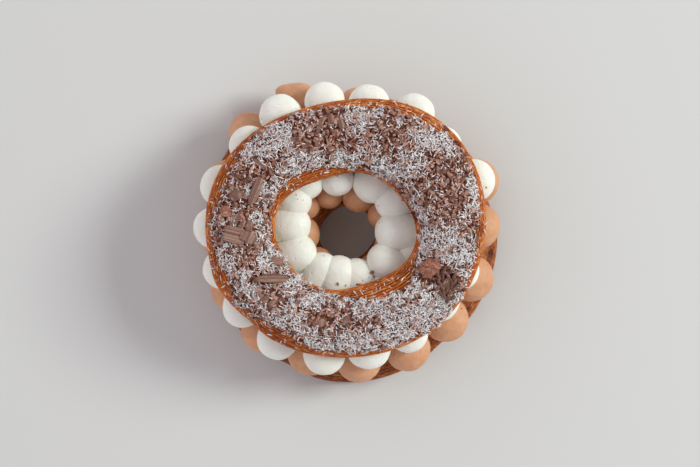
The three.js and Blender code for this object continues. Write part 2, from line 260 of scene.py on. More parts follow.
SIDE_STEPS, FLAT_STEPS = 44, 12
climb = np.linspace(0, 1, SIDE_STEPS)
inset = base_inset(climb) / BASE_WIDTH
level = np.linspace(0, 1, FLAT_STEPS + 2)[1:-1]
rim_side = np.stack([1 - inset, climb * BASE_HEIGHT], axis=-1)
hole_side = np.stack([inset, climb * BASE_HEIGHT], axis=-1)[::-1]
to_hole = rim_side[-1, 0] + (hole_side[0, 0] - rim_side[-1, 0]) * level
to_rim = hole_side[-1, 0] + (rim_side[0, 0] - hole_side[-1, 0]) * level
cut_face = np.stack([to_hole, 0 * level + BASE_HEIGHT], axis=-1)
underside = np.stack([to_rim, 0 * level], axis=-1)
base_section = np.concatenate([rim_side, cut_face, hole_side, underside])


def base_place(angles, across, up, out, rise):
    hole = lobed(BASE_HOLE, angles)
    rim = lobed(BASE_RIM, angles) - sum(dent(angles, *flat) for flat in BASE_FLATS)
    radius = hole + across * (rim - hole) + out
    return np.column_stack([polar(BASE_CENTRE, angles, radius), np.maximum(0, up + rise)])


BASE_HOLLOWS = [[104.5, -15.5, 2.2, 3, 1.6], [58, -89, 2.5, 1.6, 1], [88, -56, 2.2, 2, 1]]


def base_parts(up):
    """Which points are on the cut face, on the sides and on the underside."""
    cut, foot = up > BASE_HEIGHT - FLAT_EDGE, up < FLAT_EDGE
    return cut, ~(cut | foot), foot


def base_arc(across, up):
    """A length that grows up each side, with the outer side well apart from the inner one."""
    return 1.25 * up + 40 * (across > 0.5)


def base_relief(angles, across, up):
    cut, on_side, foot = base_parts(up)
    grooves = ridges(angles, np.where(across > 0.5, 105, 24), base_arc(across, up), BASE_RIDGE, 3)
    fade = np.clip(np.minimum(up, BASE_HEIGHT - up) / 1.5, 0, 1)
    radius = 20 + 90 * across
    grooves -= hollows(polar(BASE_CENTRE, angles, radius) - MIDDLE, BASE_HOLLOWS)
    ragged = np.column_stack([radius * np.cos(angles), radius * np.sin(angles), up])
    crumb = CRUMB_DEPTH * wobble(ragged, 5, 7) * cut
    return np.where(on_side, grooves * fade, np.where(foot, 0, crumb - CRUMB_DEPTH))


base_crust, angles, across, up = ring("base_crust", base_section, 420, base_place, base_relief)
cut, on_side, _ = base_parts(up)
# The furrow share is the groove's depth, and the material uses it only to paint shade into the furrows.
furrow = np.clip(-base_relief(angles, across, up) / BASE_FULL_FURROW, 0, 1) * on_side
paint(base_crust, "arc", base_arc(across, up))
paint(base_crust, "furrow", furrow)
paint(base_crust, "cut", cut & (across > 0.1) & (across < 0.9))
paint(base_crust, "topped", np.zeros_like(up))
merge(base_crust, 0.01)
print("base crust:", triangles(base_crust), "triangles")

# %% [markdown]
# The lid is a rounded arch that swelled in the oven, higher here and lower there. Half an oval would be too
# pointed on top, so two powers make the arch fuller. Its bare sides need fine steps for their ridges, and its
# covered top needs few, so the section's steps are packed where they count.

# %% The lid's section, and where it lies in the ring
FULL_ACROSS, FULL_UP = 2.6, 2.3
# A full furrow is the depth in mm at which the furrow's painted shade is darkest.
LID_WIDTH, LID_RIDGE, LID_FULL_FURROW = 51.7, 1.5, 1.3
COVERED_FROM, COVERED_TO = 0.34, 0.66  # shares of the way over the arch


def arch_height(across):
    """The arch's height as a share of the lid's."""
    off_middle = np.clip(np.abs(2 * across - 1), 0, 1)
    return (1 - off_middle**FULL_ACROSS) ** (1 / FULL_UP)


def arch_arc(share_of_way):
    """Points along the arch by their share of its length, from the rim's foot to the hole's."""
    swing = np.cos(np.linspace(0, math.pi, 2000))
    across = 0.5 + 0.5 * np.sign(swing) * np.abs(swing) ** (2 / FULL_ACROSS)
    up = LID_HEIGHT * arch_height(across)
    length = np.concatenate([[0], np.cumsum(np.hypot(LID_WIDTH * np.diff(across), np.diff(up)))])
    return np.interp(share_of_way * length[-1], length, across), length[-1]


bare_steps, covered_steps, under_steps = 68, 24, 14
outer_share = np.linspace(0, COVERED_FROM, bare_steps, endpoint=False)
covered_share = np.linspace(COVERED_FROM, COVERED_TO, covered_steps, endpoint=False)
inner_share = np.linspace(COVERED_TO, 1, bare_steps)
arch_shares = np.concatenate([outer_share, covered_share, inner_share])
arch_across, ARCH_LENGTH = arch_arc(arch_shares)
arch = np.stack([arch_across, LID_HEIGHT * arch_height(arch_across)], axis=-1)
under = np.linspace(0, 1, under_steps + 2)[1:-1]
lid_section = np.concatenate([arch, np.stack([under, 0 * under], axis=-1)])


def lid_place(angles, across, up, out, rise):
    hole = lobed(LID_HOLE, angles)
    rim = lobed(LID_RIM, angles) - sum(dent(angles, *step) for step in LID_SEAM)
    radius = hole + across * (rim - hole) + out
    height = LID_FLOOR + np.maximum(0, up * lobed(LID_SWELLS, angles) + rise)
    return np.column_stack([polar(LID_CENTRE, angles, radius), height])


# %% [markdown]
# The topping leaves a bare band of crust along both edges, wide in some places and narrow in others. Two small
# tables say how wide, by bearing, where painting by hand couldn't be repeated. Inside the bands the lid is
# hummocky, because crumbs lie in drifts on it.

# %% Bare bands and relief of the lid
OUTER_BARE = [
    [0, 7.5], [15, 5], [30, 4.5], [45, 7.5], [60, 9], [75, 9], [90, 7], [112, 3.5], [135, 5], [148, 8.5],
    [170, 9], [179, 4.5], [192, 8], [203, 11], [208, 8], [214, 3], [221, 5], [230, 9.5], [245, 9.5],
    [258, 6], [272, 5], [290, 5], [303, 2.5], [320, 2.5], [338, 3.5], [352, 7.5],
]
INNER_BARE = [
    [0, 3], [30, 2.5], [60, 2], [88, 4], [110, 9], [122, 10.5], [138, 9.5], [160, 6], [180, 4], [202, 2],
    [225, 1.5], [250, 2], [270, 6], [285, 10], [300, 13.5], [315, 14], [328, 9], [345, 4],
]
TOPPING_FADE = 2.4
UNDERSIDE = 0.01  # points of the lid's section no higher than this are its flat underside


def lid_width(angles):
    return lobed(LID_RIM, angles) - lobed(LID_HOLE, angles)


def topped(angles, across):
    """1 where the topping lies, 0 on the bare crust, with a ragged edge between."""
    width = lid_width(angles)
    from_rim, from_hole = (1 - across) * width, across * width
    flat = np.column_stack([polar(LID_CENTRE, angles, lobed(LID_HOLE, angles) + from_hole), 0 * angles])
    ragged = 2.2 * wobble(flat, 6, 21) + 1.2 * wobble(flat, 2.5, 22)
    past_rim = from_rim - round_ring(OUTER_BARE, angles) + ragged
    past_hole = from_hole - round_ring(INNER_BARE, angles) + ragged
    return np.clip(0.5 + np.minimum(past_rim, past_hole) / TOPPING_FADE, 0, 1)


def lid_arc(across):
    """How far over the arch each point lies, in mm from the rim's foot."""
    order = np.argsort(arch_across)
    return np.interp(across, arch_across[order], arch_shares[order] * ARCH_LENGTH)


LID_HOLLOWS = [[43.5, 22, 2.4, 4, 2.2], [45.5, 12.5, 2.2, 4.5, 3], [68.5, 75, 3, 2.4, 2.2],
               [76, 63, 2.4, 3, 2], [-69, -40, 2, 2.5, 1], [35, -41, 3, 1.5, 1.2]]


def plain_radius(across):
    """The radius on a lid of true circles, which is near enough for noise."""
    return 45 + 52 * across


def lid_grooves(angles, across):
    """The ridges and hollows of the bare crust: how far each point lies below the crests."""
    radius = lobed(LID_HOLE, angles) + across * lid_width(angles)
    deep = ridges(angles, plain_radius(across), lid_arc(across), LID_RIDGE, 11)
    return deep - hollows(polar(LID_CENTRE, angles, radius) - MIDDLE, LID_HOLLOWS)


def lid_relief(angles, across, up):
    cover = topped(angles, across)
    radius = plain_radius(across)
    flat = np.column_stack([radius * np.cos(angles), radius * np.sin(angles), 0 * up])
    hummocks = 0.5 * wobble(flat, 9, 31) + 0.35 * wobble(flat, 3.5, 32)
    fade = np.clip(up / 1.5, 0, 1)
    on_top = fade * ((1 - 0.8 * cover) * lid_grooves(angles, across) + cover * hummocks)
    return np.where(up > UNDERSIDE, on_top, 0.2 * wobble(flat, 4, 33))


lid_crust, angles, across, up = ring("lid_crust", lid_section, 440, lid_place, lid_relief)
crust = up > UNDERSIDE
# The furrow share is the groove's depth, and the material uses it only to paint shade into the furrows.
furrow = np.clip(-lid_grooves(angles, across) / LID_FULL_FURROW, 0, 1) * crust
paint(lid_crust, "arc", lid_arc(across))
paint(lid_crust, "furrow", furrow)
paint(lid_crust, "cut", ~crust & (across > 0.03) & (across < 0.97))
paint(lid_crust, "topped", topped(angles, across) * crust)
merge(lid_crust, 0.01)
print("lid crust:", triangles(lid_crust), "triangles")

# %% [markdown]
# A dome of cream is a ball pressed flat where it stands: fullest just below its middle and round on top. The
# nozzle's pressure leaves soft folds in it, and no two are alike. Some domes were pulled out to a point as the
# nozzle left them, and those round the lid's hole are long on their outer side, where they run in under it. A
# metaball would swell where two meet, and piped domes crease there, so each starts as a plain ball.

# %% One dome of cream
WAIST = 0.42  # the share of its height at which a dome is fullest
FOOT_SINE = math.sin(math.acos(0.72))  # cut off there, its foot is 0.72 of its full radius


def dome(name, row, height, floor, seed, tails):
    """tails: each the bearing that it points to, its reach, how narrow it is, and how far up it leaves."""
    bearing, path, radius, stretch, lower = (row + [1, 0])[:5]
    height -= lower
    deselect()
    bpy.ops.mesh.primitive_uv_sphere_add(segments=56, ring_count=36, radius=1)
    ball = named(name)
    x, y, z = (points_of(ball) * MM).T
    below = np.clip(1 + z / FOOT_SINE, 0, 1)
    up = np.where(z < 0, WAIST * height * below, height * (WAIST + (1 - WAIST) * z))
    shaped = np.column_stack([x * radius, y * radius, up])
    swell = 0.035 * wobble(shaped, 11, seed) + 0.012 * wobble(shaped, 4.5, seed + 40)
    shaped[:, :2] *= (1 + swell * np.clip(up / 4, 0, 1))[:, None]
    facing = np.arctan2(y, x)
    for at, reach, sharp, lift in tails:
        pull = np.clip(np.cos(facing - math.radians(at)), 0, 1) ** sharp
        level = np.exp(-(((up / height - lift) / 0.32) ** 2))
        shaped[:, :2] *= (1 + (reach - 1) * pull * level)[:, None]
    outwards = np.array([math.cos(math.radians(bearing)), math.sin(math.radians(bearing))])
    beyond = np.clip(shaped[:, :2] @ outwards, 0, None)
    shaped[:, :2] += np.outer((stretch - 1) * beyond, outwards)
    place = MIDDLE + path * outwards
    return press(ball, shaped + [place[0], place[1], floor])


# %% [markdown]
# Each tier has a ring of domes round the rim and one round the hole, on a core of cream that no one sees. The
# domes overlap. Left apart they would hide faces in each other, and a remesh would blur the creases, so one
# Boolean union makes a single skin with crisp creases between them, as piped cream has.

# %% A tier of cream
# Each row of a ring is the dome's bearing, how far out it stands and its radius. It may go on with how many
# times longer the outer half is, and how much lower than the tallest the dome stands. A wall is where the core
# ends: its middle's x and y, and its radius. Tails are given by the number of their dome.
PRALINE_TIER = {
    "rim": {
        "height": 23.4,
        "wall": [-2, 3, 86.5],
        "rows": [[3.4, 93.4, 17], [22.4, 100.4, 16.6], [42.5, 90.5, 16.6], [64, 91, 16.6], [86.3, 90.3, 16.8],
                 [111.3, 100.4, 17], [134.6, 102.9, 16.6], [157.3, 97, 16.6], [181.2, 93, 17],
                 [205.2, 94.7, 16.8], [228.3, 94.6, 17], [251.6, 91.7, 17.2], [274, 92.5, 17],
                 [296.5, 94.1, 17], [318.2, 93.6, 17.2], [339.7, 94.3, 17.2]],
        "tails": {5: [[149, 1.27, 60, 0.55], [134, 1.17, 50, 0.55], [121, 1.07, 30, 0.6]],
                  6: [[116, 1.07, 40, 0.7], [88, 0.93, 8, 0.6]]},
    },
    "hole": {
        "height": 23,
        "wall": [-4, 1.5, 36],
        "rows": [[30, 27.4, 11], [76.8, 29.3, 13], [118.6, 32.4, 10.5], [147.8, 38.8, 11], [181.4, 35.6, 13.5],
                 [222, 31.9, 11.5], [265, 33, 12], [301, 32, 12], [341.8, 31, 12]],
        "tails": {},
    },
}
WHITE_TIER = {
    "rim": {
        "height": 18,
        "wall": [-3.5, 5, 85],
        "rows": [[2, 82.5, 14.8], [23.2, 97.3, 15.4], [43.6, 91.1, 14.8], [61.8, 97.8, 15], [81.7, 93.4, 15.2],
                 [100.9, 96.6, 14.7], [120.4, 98.8, 15.4], [139, 95.8, 15], [159.8, 99.1, 15.2],
                 [177.5, 98, 15.2], [195.6, 94.7, 15], [214.6, 94, 14.8], [235.6, 92.3, 15], [258, 89.1, 15.2],
                 [279.2, 82.7, 16.4], [300.4, 82.6, 14.8], [323.1, 80.6, 14.8], [341.1, 82.9, 14.8]],
        "tails": {6: [[-30, 1.2, 8, 0.5]]},
    },
    "hole": {
        "height": 18,
        "wall": [-3.5, 3, 53.5],
        "rows": [[2.4, 32.1, 14.5, 1.75, 0], [35.8, 39.2, 14, 1.5, 0.4], [65.3, 40.3, 15.1, 1.35, 0],
                 [103.2, 40.6, 12.5, 1.65, 0.5], [130, 48.3, 12.5, 1.35, 0.5], [149.7, 46.8, 13, 1.35, 0],
                 [172.1, 43, 14.5, 1.35, 0], [200.4, 40.2, 14, 1.45, 0.3], [232, 33, 12.5, 1.9, 1.6],
                 [254, 30.8, 14, 1.8, 0], [279.5, 30.7, 12.5, 1.8, 2.2], [322, 31.8, 13.5, 1.75, 0.6],
                 [301, 45, 9, 1.2, 3], [343, 45, 10.5, 1.2, 4.4]],
        "tails": {},
    },
}
DOME_SPREAD = 0.05


def domes(ring_of, floor, stream, name):
    """One ring of a tier, each dome a little lower than the tallest by chance."""
    made = []
    for i, row in enumerate(ring_of["rows"]):
        height = ring_of["height"] * (1 - DOME_SPREAD * next(stream))
        tails = ring_of["tails"].get(i, [])
        made.append(dome(f"{name}_{i}", row, height, floor, i + 3, tails))
    return made


def core_of(tier, floor, top):
    """A plain ring of cream between the two walls of a tier."""
    inner, outer = np.array(tier["hole"]["wall"]), np.array(tier["rim"]["wall"])
    corners = [[1, floor], [1, top], [0, top], [0, floor]]
    ends = zip(corners, corners[1:] + corners[:1])
    fine = np.concatenate([np.linspace(a, b, 6, endpoint=False) for a, b in ends])

    def place(angles, across, up, out, rise):
        x, y, radius = (inner + np.outer(across, outer - inner)).T
        x = MIDDLE[0] + x + radius * np.cos(angles)
        y = MIDDLE[1] + y + radius * np.sin(angles)
        return np.column_stack([x, y, up])

    core = ring("core", fine, 96, place, lambda angles, across, up: 0 * up)[0]
    merge(core, 0.01)
    return core


def combine(core, pieces, name, how="UNION"):
    """Joins overlapping closed pieces into one skin, or cuts them out of it."""
    group = bpy.data.collections.new(name)
    bpy.context.scene.collection.children.link(group)
    for piece in pieces:
        group.objects.link(piece)
    select_only([core])
    modifier = core.modifiers.new(how.title(), "BOOLEAN")
    modifier.operation = how
    modifier.operand_type = "COLLECTION"
    modifier.collection = group
    modifier.solver = "MANIFOLD"
    bpy.ops.object.modifier_apply(modifier=modifier.name)
    for piece in pieces:
        bpy.data.objects.remove(piece)
    bpy.data.collections.remove(group)
    core.name = core.data.name = name
    return core


def make_tier(tier, floor, top, seed, name):
    stream = random_from(seed)
    pieces = [ball for side in ("rim", "hole") for ball in domes(tier[side], floor, stream, f"{name}_{side}")]
    skin = combine(core_of(tier, floor, top), pieces, name)
    print(f"{name}:", triangles(skin), "triangles")
    return skin


praline_domes = make_tier(PRALINE_TIER, PRALINE_FLOOR, PRALINE_TOP, 11, "praline_domes")
whipped_domes = make_tier(WHITE_TIER, WHITE_FLOOR, WHITE_TOP, 29, "whipped_domes")

# %% [markdown]
# A camera straight above stands for the photographer's. Crumbs and shards have to lie on what carries them.
# Their heights could be typed in one by one, but a ray cast straight down at each one's place finds the height
# and the slope there, and still does so when the lid or a dome changes.

# %% Camera and rays
CAMERA_HEIGHT, LENS = 1200.0, 82.2
RAY_HEIGHT = 200.0
deselect()
bpy.ops.object.camera_add(location=(MIDDLE[0] * MM, MIDDLE[1] * MM, CAMERA_HEIGHT * MM), rotation=(0, 0, 0))
camera = bpy.context.active_object
camera.data.lens = LENS
camera.data.sensor_width = 36
bpy.context.scene.camera = camera


def tree_of(pieces):
    """One search tree over all faces of the pieces."""
    corners, faces = [], []
    for piece in pieces:
        start = len(corners)
        corners.extend(v.co.copy() for v in piece.data.vertices)
        faces.extend([start + i for i in face.vertices] for face in piece.data.polygons)
    return BVHTree.FromPolygons(corners, faces)


def drop(tree, x, y):
    """Point and normal, in mm, of the first surface straight below a place given from the layout's middle."""
    start = Vector(((x + MIDDLE[0]) * MM, (y + MIDDLE[1]) * MM, RAY_HEIGHT * MM))
    hit, normal, _, _ = tree.ray_cast(start, Vector((0, 0, -1)))
    return np.array(hit) / MM, np.array(normal)


print("camera", CAMERA_HEIGHT, "mm up, with a lens of", LENS, "mm")


# %% [markdown]
# Air that was beaten into the cream opens in small round holes where a bubble met the surface. A dark dot in
# the material would lie flat when the light is low, so each is cut with a little ball that stands half out of
# the cream.

# %% Air holes in the cream
def pebble(name, radius):
    deselect()
    bpy.ops.mesh.primitive_ico_sphere_add(subdivisions=2, radius=radius * MM)
    return named(name)


def air_holes(skin, rows):
    tree, balls = tree_of([skin]), []
    for i, (x, y, radius, *longer) in enumerate(rows):
        ball = pebble(f"bubble_{i}", radius)
        point, normal = drop(tree, x, y)
        across, up = longer or (1, 1)
        balls.append(press(ball, points_of(ball) * [across, up, 1] + point + 0.45 * radius * normal))
    return combine(skin, balls, skin.name, "DIFFERENCE")


# x and y from the layout's middle, the radius, and where a hole is long, how many times along X and Y
WHIPPED_HOLES = [
    [-50.3, 5.3, 0.9], [-45.5, 6, 0.8], [-35.9, -5.8, 0.9], [-39.6, -18.3, 1.2], [-27.8, -29, 0.9, 1, 1.8],
    [-8.7, -25.3, 0.7], [-10.5, -31.5, 0.5], [28.8, -5, 0.8], [33.6, -2.8, 0.6], [38.8, -6.6, 1.1],
    [42.5, 0.9, 0.7], [29.6, 14.8, 0.6], [28.5, 26.2, 0.6], [27.8, -18.3, 0.6], [36.9, -19.4, 0.8],
    [-6.8, 29.2, 0.4], [11.2, 104.8, 1.2], [-51.8, 92, 0.8, 2.4, 1.2], [-37, 9, 0.5], [27, -8.5, 0.5],
    [30.5, -8.2, 0.7],
]
PRALINE_HOLES = [
    [-74.1, -75.9, 1], [96.9, -37.5, 0.9], [51.2, -86.4, 0.8, 1, 2.2], [32.5, -88, 0.9], [-33, 101, 0.7],
    [99, -30, 0.5],
]
whipped_domes = air_holes(whipped_domes, WHIPPED_HOLES)
praline_domes = air_holes(praline_domes, PRALINE_HOLES)
print("with air holes:", triangles(whipped_domes), "and", triangles(praline_domes), "triangles")

# %% [markdown]
# The larger pieces of chocolate are shavings and broken lumps. A blade leaves streaks along each one, and its
# ends crumble. A bevelled box would look cut, so one rule presses a ball into all of them: its power makes it
# round (2) or boxy (more), and its taper draws the ends in. The distance across the grain is kept for the
# material's streaks.

# %% One piece of chocolate, set on the lid
lid_tree = tree_of([lid_crust])


def lay(piece, shaped, place, turn, raise_by):
    """Turns shaped points, leans them as the lid does at a place, and sets them there, so far above it."""
    point, normal = drop(lid_tree, *place)
    spin = Matrix.Rotation(math.radians(turn), 3, "Z")
    lean = Vector((0, 0, 1)).rotation_difference(Vector(normal)).to_matrix()
    return press(piece, shaped @ np.array(lean @ spin).T + point + raise_by * normal)


def chocolate(name, place, size, turn, power, taper, rough, seed, raise_by, segments=48, rings=28):
    """raise_by: how far its middle is above the lid, as a share of its height."""
    length, width, height = size
    deselect()
    bpy.ops.mesh.primitive_uv_sphere_add(segments=segments, ring_count=rings, radius=1)
    piece = named(name)
    points = points_of(piece) * MM
    largest = (np.abs(points) ** power).sum(axis=1) ** (1 / power)
    points = points / largest[:, None]
    x, y, z = points.T
    y = y * (1 - taper * x**2)
    z = z * (1 - 0.5 * taper * x**2)
    shaped = np.column_stack([x * length, y * width, z * height]) / 2
    streaks = np.column_stack([shaped[:, 0] * 0.1, shaped[:, 1], shaped[:, 2]])
    lumps = wobble(shaped, 2.8, seed)
    shaped *= 1 + rough * (0.17 * lumps + 0.09 * wobble(shaped, 1.1, seed + 1))[:, None]
    shaped[:, 2] += (0.55 - 0.2 * rough) * wobble(streaks, 1.5, seed + 2) * (z > 0)
    shaped[:, 0] += 0.9 * wobble(shaped * [0.2, 1, 1], 1.4, seed + 3) * np.abs(x) ** 3
    crumbled = min(1, max(0, 1.6 * rough - 0.5))
    paint(piece, "grain", (1 - crumbled) * shaped[:, 1] + 4 * crumbled * wobble(shaped, 2.2, seed + 4))
    paint(piece, "tone", np.full(len(shaped), (seed * 0.37) % 1))
    return lay(piece, shaped, place, turn, raise_by * height)


# %% [markdown]
# Six pieces are large enough to be told apart from a step away. Four are single. The slab cracked in three when
# it landed. The dark roll of shavings broke too, into a heap of short ridges that lie over each other: one
# curled strip would look whole, so the ridges are laid one by one on a low heart.

# %% The large pieces, as the solid model has them
# Each is its place, its size, its turn, its power, its taper and how rough it is.
SINGLE = {
    "chocolate_shaving": [[-66.2, 30.0], [20, 6.5, 4.5], 68, 4.5, 0.25, 0.3],
    "chocolate_spindle": [[-54.6, -31.8], [25, 7.2, 5], 2, 2.4, 0.45, 0.3],
    "chocolate_lump": [[56.6, -24.6], [14.2, 12.6, 8.6], 30, 2.3, 0.05, 1.3],
    "chocolate_button": [[-87.3, 15.7], [8.6, 8, 5.5], 0, 2.3, 0.05, 0.6],
}
SLAB_PARTS = [
    [[-81.3, -1.2], [16, 11.5, 4.6], -14, 8, 0.03, 0.25],
    [[-71.8, -3.0], [7.5, 11.5, 4.4], 62, 7, 0.05, 0.4],
    [[-76.4, 4.2], [7.5, 3.8, 3.4], 66, 5, 0.1, 0.6],
]
ROLL_RIDGES = [  # x, y, length and turn
    [62, -27.5, 7, 100], [66.5, -25.5, 6, 60], [70.5, -27, 7, 30], [73.5, -29.5, 6, 75], [65, -30.5, 8, 85],
    [69, -30, 8, 110], [72.5, -33.5, 7, 55], [62.5, -32.5, 6, 70], [66.8, -34, 9, 60], [70.5, -36, 8, 95],
    [74.5, -36.5, 6, 40], [64, -36.5, 8, 110], [68, -38.5, 9, 78], [72, -40, 7, 60], [65.5, -40.5, 7, 95],
    [61.5, -38, 6, 50], [69.5, -42.5, 7, 70], [66, -44, 6, 105], [71.5, -44.5, 5, 35], [63.5, -42.5, 5, 130],
    [75.5, -33, 5, 100], [67.5, -28, 6, 140], [68, -46.5, 5, 60],
]
RIDGE_WIDTH, RIDGE_HEIGHT = 2.4, 2.6
large_chocolates = {}
for seed, (node, row) in enumerate(SINGLE.items()):
    large_chocolates[node] = chocolate(node + "_cut", *row, seed + 50, 0.2)
slab = [chocolate(f"slab_{i}", *row, i + 60, 0.2) for i, row in enumerate(SLAB_PARTS)]
large_chocolates["chocolate_slab"] = join(slab, "chocolate_slab_cut")
heart = chocolate("roll_heart", [68.3, -37.0], [13.5, 11, 3.6], 52, 2.4, 0.1, 1.0, 66, 0.15)
roll = [heart]
for i, (x, y, length, turn) in enumerate(ROLL_RIDGES):
    size = [length, RIDGE_WIDTH, RIDGE_HEIGHT]
    roll.append(chocolate(f"roll_ridge_{i}", [x, y], size, turn, 2.6, 0.35, 0.8, i + 31, 0.75, 16, 10))
large_chocolates["chocolate_roll"] = join(roll, "chocolate_roll_cut")
print("large pieces of chocolate:", len(large_chocolates), "with",
      sum(triangles(piece) for piece in large_chocolates.values()), "triangles")

# %% [markdown]
# Twenty-two smaller shards can still be told apart. Scattering them would put them anywhere, so each is made as
# the large pieces are, with fewer faces, and laid where it fell.

# %% Smaller shards, each where it fell
SHARDS = [
    [(-19.7, 79), [9, 3.6, 2.6], 76, 3.2, 0.3, 0.4],
    [(-13.3, 79.7), [9.5, 4.2, 3.2], 100, 3.2, 0.3, 0.4],
    [(-6.3, 77.6), [9.5, 4.4, 3], 108, 3.6, 0.2, 0.4],
    [(-52.3, -20), [10, 6, 4], -18, 3.4, 0.1, 0.7],
    [(-80.1, 27), [10, 7.5, 3.4], 40, 2.8, 0.1, 1],
    [(-60.4, -46.7), [8.5, 4.5, 3.2], 35, 4, 0.1, 0.6],
    [(-54.1, -48.1), [8, 3.6, 3], 48, 4.5, 0.1, 0.5],
    [(-79.4, 11.6), [7, 5, 3.2], 10, 3, 0.1, 0.8],
    [(-71, 5.3), [8, 4.5, 3.4], 78, 4, 0.1, 0.6],
    [(-75.2, 6.7), [6, 3.2, 2.6], 60, 3.4, 0.2, 0.6],
    [(-40, 66), [7.5, 2.6, 2.2], -35, 3, 0.3, 0.4],
    [(-31, 62), [9.5, 2.8, 2.2], 48, 3, 0.3, 0.4],
    [(-24, 60), [8, 3, 2.4], 20, 3, 0.3, 0.4],
    [(14, 64), [6.5, 2.8, 2.4], -60, 3, 0.3, 0.4],
    [(36, 66.5), [8, 3.2, 2.6], 95, 3, 0.3, 0.5],
    [(62, 45), [4.6, 4.2, 3], 0, 2.3, 0.1, 0.9],
    [(-64, 49), [11, 4, 2.2], -35, 2.6, 0.3, 0.4],
    [(20, -59), [7.5, 3.2, 2.4], 130, 3, 0.3, 0.5],
    [(-3, -61), [6, 5, 2.6], 20, 3, 0.2, 0.7],
    [(29.5, -52), [6.5, 3.4, 2.6], 25, 3.2, 0.2, 0.6],
    [(-20, -62.5), [6.5, 4.8, 2.8], 80, 3, 0.2, 0.8],
    [(-66, -9), [9.5, 3.2, 2.6], 100, 3.4, 0.2, 0.5],
]
shards = [chocolate(f"shard_{i}", *row, i + 70, 0.3, 20, 12) for i, row in enumerate(SHARDS)]
chocolate_shards = join(shards, "chocolate_shards")
print("shards:", len(SHARDS), "with", triangles(chocolate_shards), "triangles")

# %% [markdown]
# Thousands of coconut shreds and chocolate flakes cover the lid in drifts. The photograph shows where the
# drifts lie: patches that are mostly white, and patches that are mostly brown. Each patch adds to or takes
# from a share of coconut, and noise breaks up their edges. Three numbers on the lid then steer the scatters.

# %% Where coconut and chocolate lie
WHITE_PATCHES = [  # x and y from the layout's middle, half the width and half the height
    [-51.3, 71.3, 12, 7], [-67.4, 58.7, 11, 6], [-32.3, 49.5, 12, 6], [-52, 28.5, 11, 7], [4.9, 78.3, 8, 11],
    [35.8, 45.3, 14, 7], [56.2, 65.7, 17, 8], [49.2, 19.3, 7, 7], [86.4, 30.6, 6, 15], [-86.4, -17.2, 9, 10],
    [-52, -17.2, 11, 11], [-66, -42.5, 8, 6], [-44.3, -59.4, 11, 9], [-38.6, -35.5, 9, 6],
    [-14.1, -46, 17, 5], [19.7, -50.9, 15, 8], [64.6, -6.7, 20, 9], [56.9, -53.7, 15, 13], [73.8, -15.1, 7, 8],
    [15.5, 57.3, 11, 6], [-7, 51.6, 10, 6], [31.6, -67.8, 14, 6], [-23.9, -74.8, 14, 6],
    [4, -77, 16, 6], [-34, -52, 10, 6],
]
BROWN_PATCHES = [
    [-14.8, 79, 10, 6], [-14.8, 66.4, 18, 8], [66.7, 30.6, 18, 21], [63.2, -29.2, 10, 8], [-57.6, -45.3, 10, 6],
    [-80.1, 20, 8, 8], [-78.7, -1.8, 10, 6], [-76.6, -13, 9, 6], [-15.5, -59.4, 12, 6], [7, -62, 10, 4],
    [-63.2, 43.2, 7, 8], [26.7, 67.1, 15, 9], [-35.1, 70.6, 8, 6], [31.6, 30.6, 7, 6],
]
UNDER_LARGE = [  # where nothing is strewn: x, y, half the length, half the width and the turn
    [-79, -1.4, 10.5, 6, -12], [-66.2, 30, 10, 3.2, 68], [-54.6, -31.8, 12.5, 3.5, 2], [57.2, -25, 7.6, 7, 30],
    [68.3, -36, 10, 6, 80], [-87.3, 15.7, 4.2, 4, 0],
]
ON_BARE_CRUST = 0.07


def patches(places, rows):
    """1 in the middle of a patch, half at its edge and 0 far from all of them."""
    return np.max([np.exp(-0.7 * away_from(places, *oval)) for oval in rows], axis=0)


def read(piece, name):
    values = np.empty(len(piece.data.vertices), np.float32)
    piece.data.attributes[name].data.foreach_get("value", values)
    return values.astype(float)


places = points_of(lid_crust)[:, :2] - MIDDLE
flat = np.column_stack([places, np.zeros(len(places))])
cover = read(lid_crust, "topped")
white_share = 0.5 + 0.5 * patches(places, WHITE_PATCHES) - 0.5 * patches(places, BROWN_PATCHES)
white_share += 0.4 * wobble(flat, 7, 61) + 0.45 * wobble(flat, 3.4, 62)
white_share = np.clip(white_share, 0, 1)
white_here = np.clip((white_share - 0.3) / 0.45, 0, 1) ** 1.3
kept_clear = np.all([away_from(places, *oval) > 0.8 for oval in UNDER_LARGE], axis=0)
on_crust = ON_BARE_CRUST * (points_of(lid_crust)[:, 2] > LID_FLOOR + 10)
paint(lid_crust, "coconut_here", np.maximum(on_crust, cover * (0.14 + 0.86 * white_here)) * kept_clear)
paint(lid_crust, "drift_here", cover * kept_clear * np.clip(2 * white_here - 0.7, 0, 1))
paint(lid_crust, "chocolate_here", cover * kept_clear * (1 - 0.7 * white_here))
print(f"coconut's share of the topping: {(white_here * cover).sum() / cover.sum():.2f}")

# %% [markdown]
# Scatters and materials are both trees of nodes. They could be wired node by node by hand, but then each takes
# five lines, so one helper adds a node, fills its inputs and links it.


# %% One node with its settings and links
def add(tree, kind, inputs=None, **settings):
    """Adds a node, fills or links its inputs by name or place, and returns its first output that is in use."""
    node = tree.nodes.new(kind)
    for name, value in settings.items():
        setattr(node, name, value)
    for key, value in (inputs or {}).items():
        by_place = isinstance(key, int)
        socket = node.inputs[key] if by_place else next(s for s in node.inputs if s.name == key and s.enabled)
        if isinstance(value, bpy.types.NodeSocket):
            tree.links.new(value, socket)
        else:
            socket.default_value = value
    return next((output for output in node.outputs if output.enabled), node)


# %% [markdown]
# One shred and one flake of each kind is modelled, and Geometry Nodes scatters copies over the lid, since no one
# could lay thousands by hand. Each is turned to lie flat, tilted a little, raised by chance and scaled.
# Realizing the copies makes them plain mesh, so every shred is really there, and a random tone for each is kept
# for its material.

# %% Scatter copies of a piece over the lid
SQUARE_METRE = 1e4  # in square centimetres


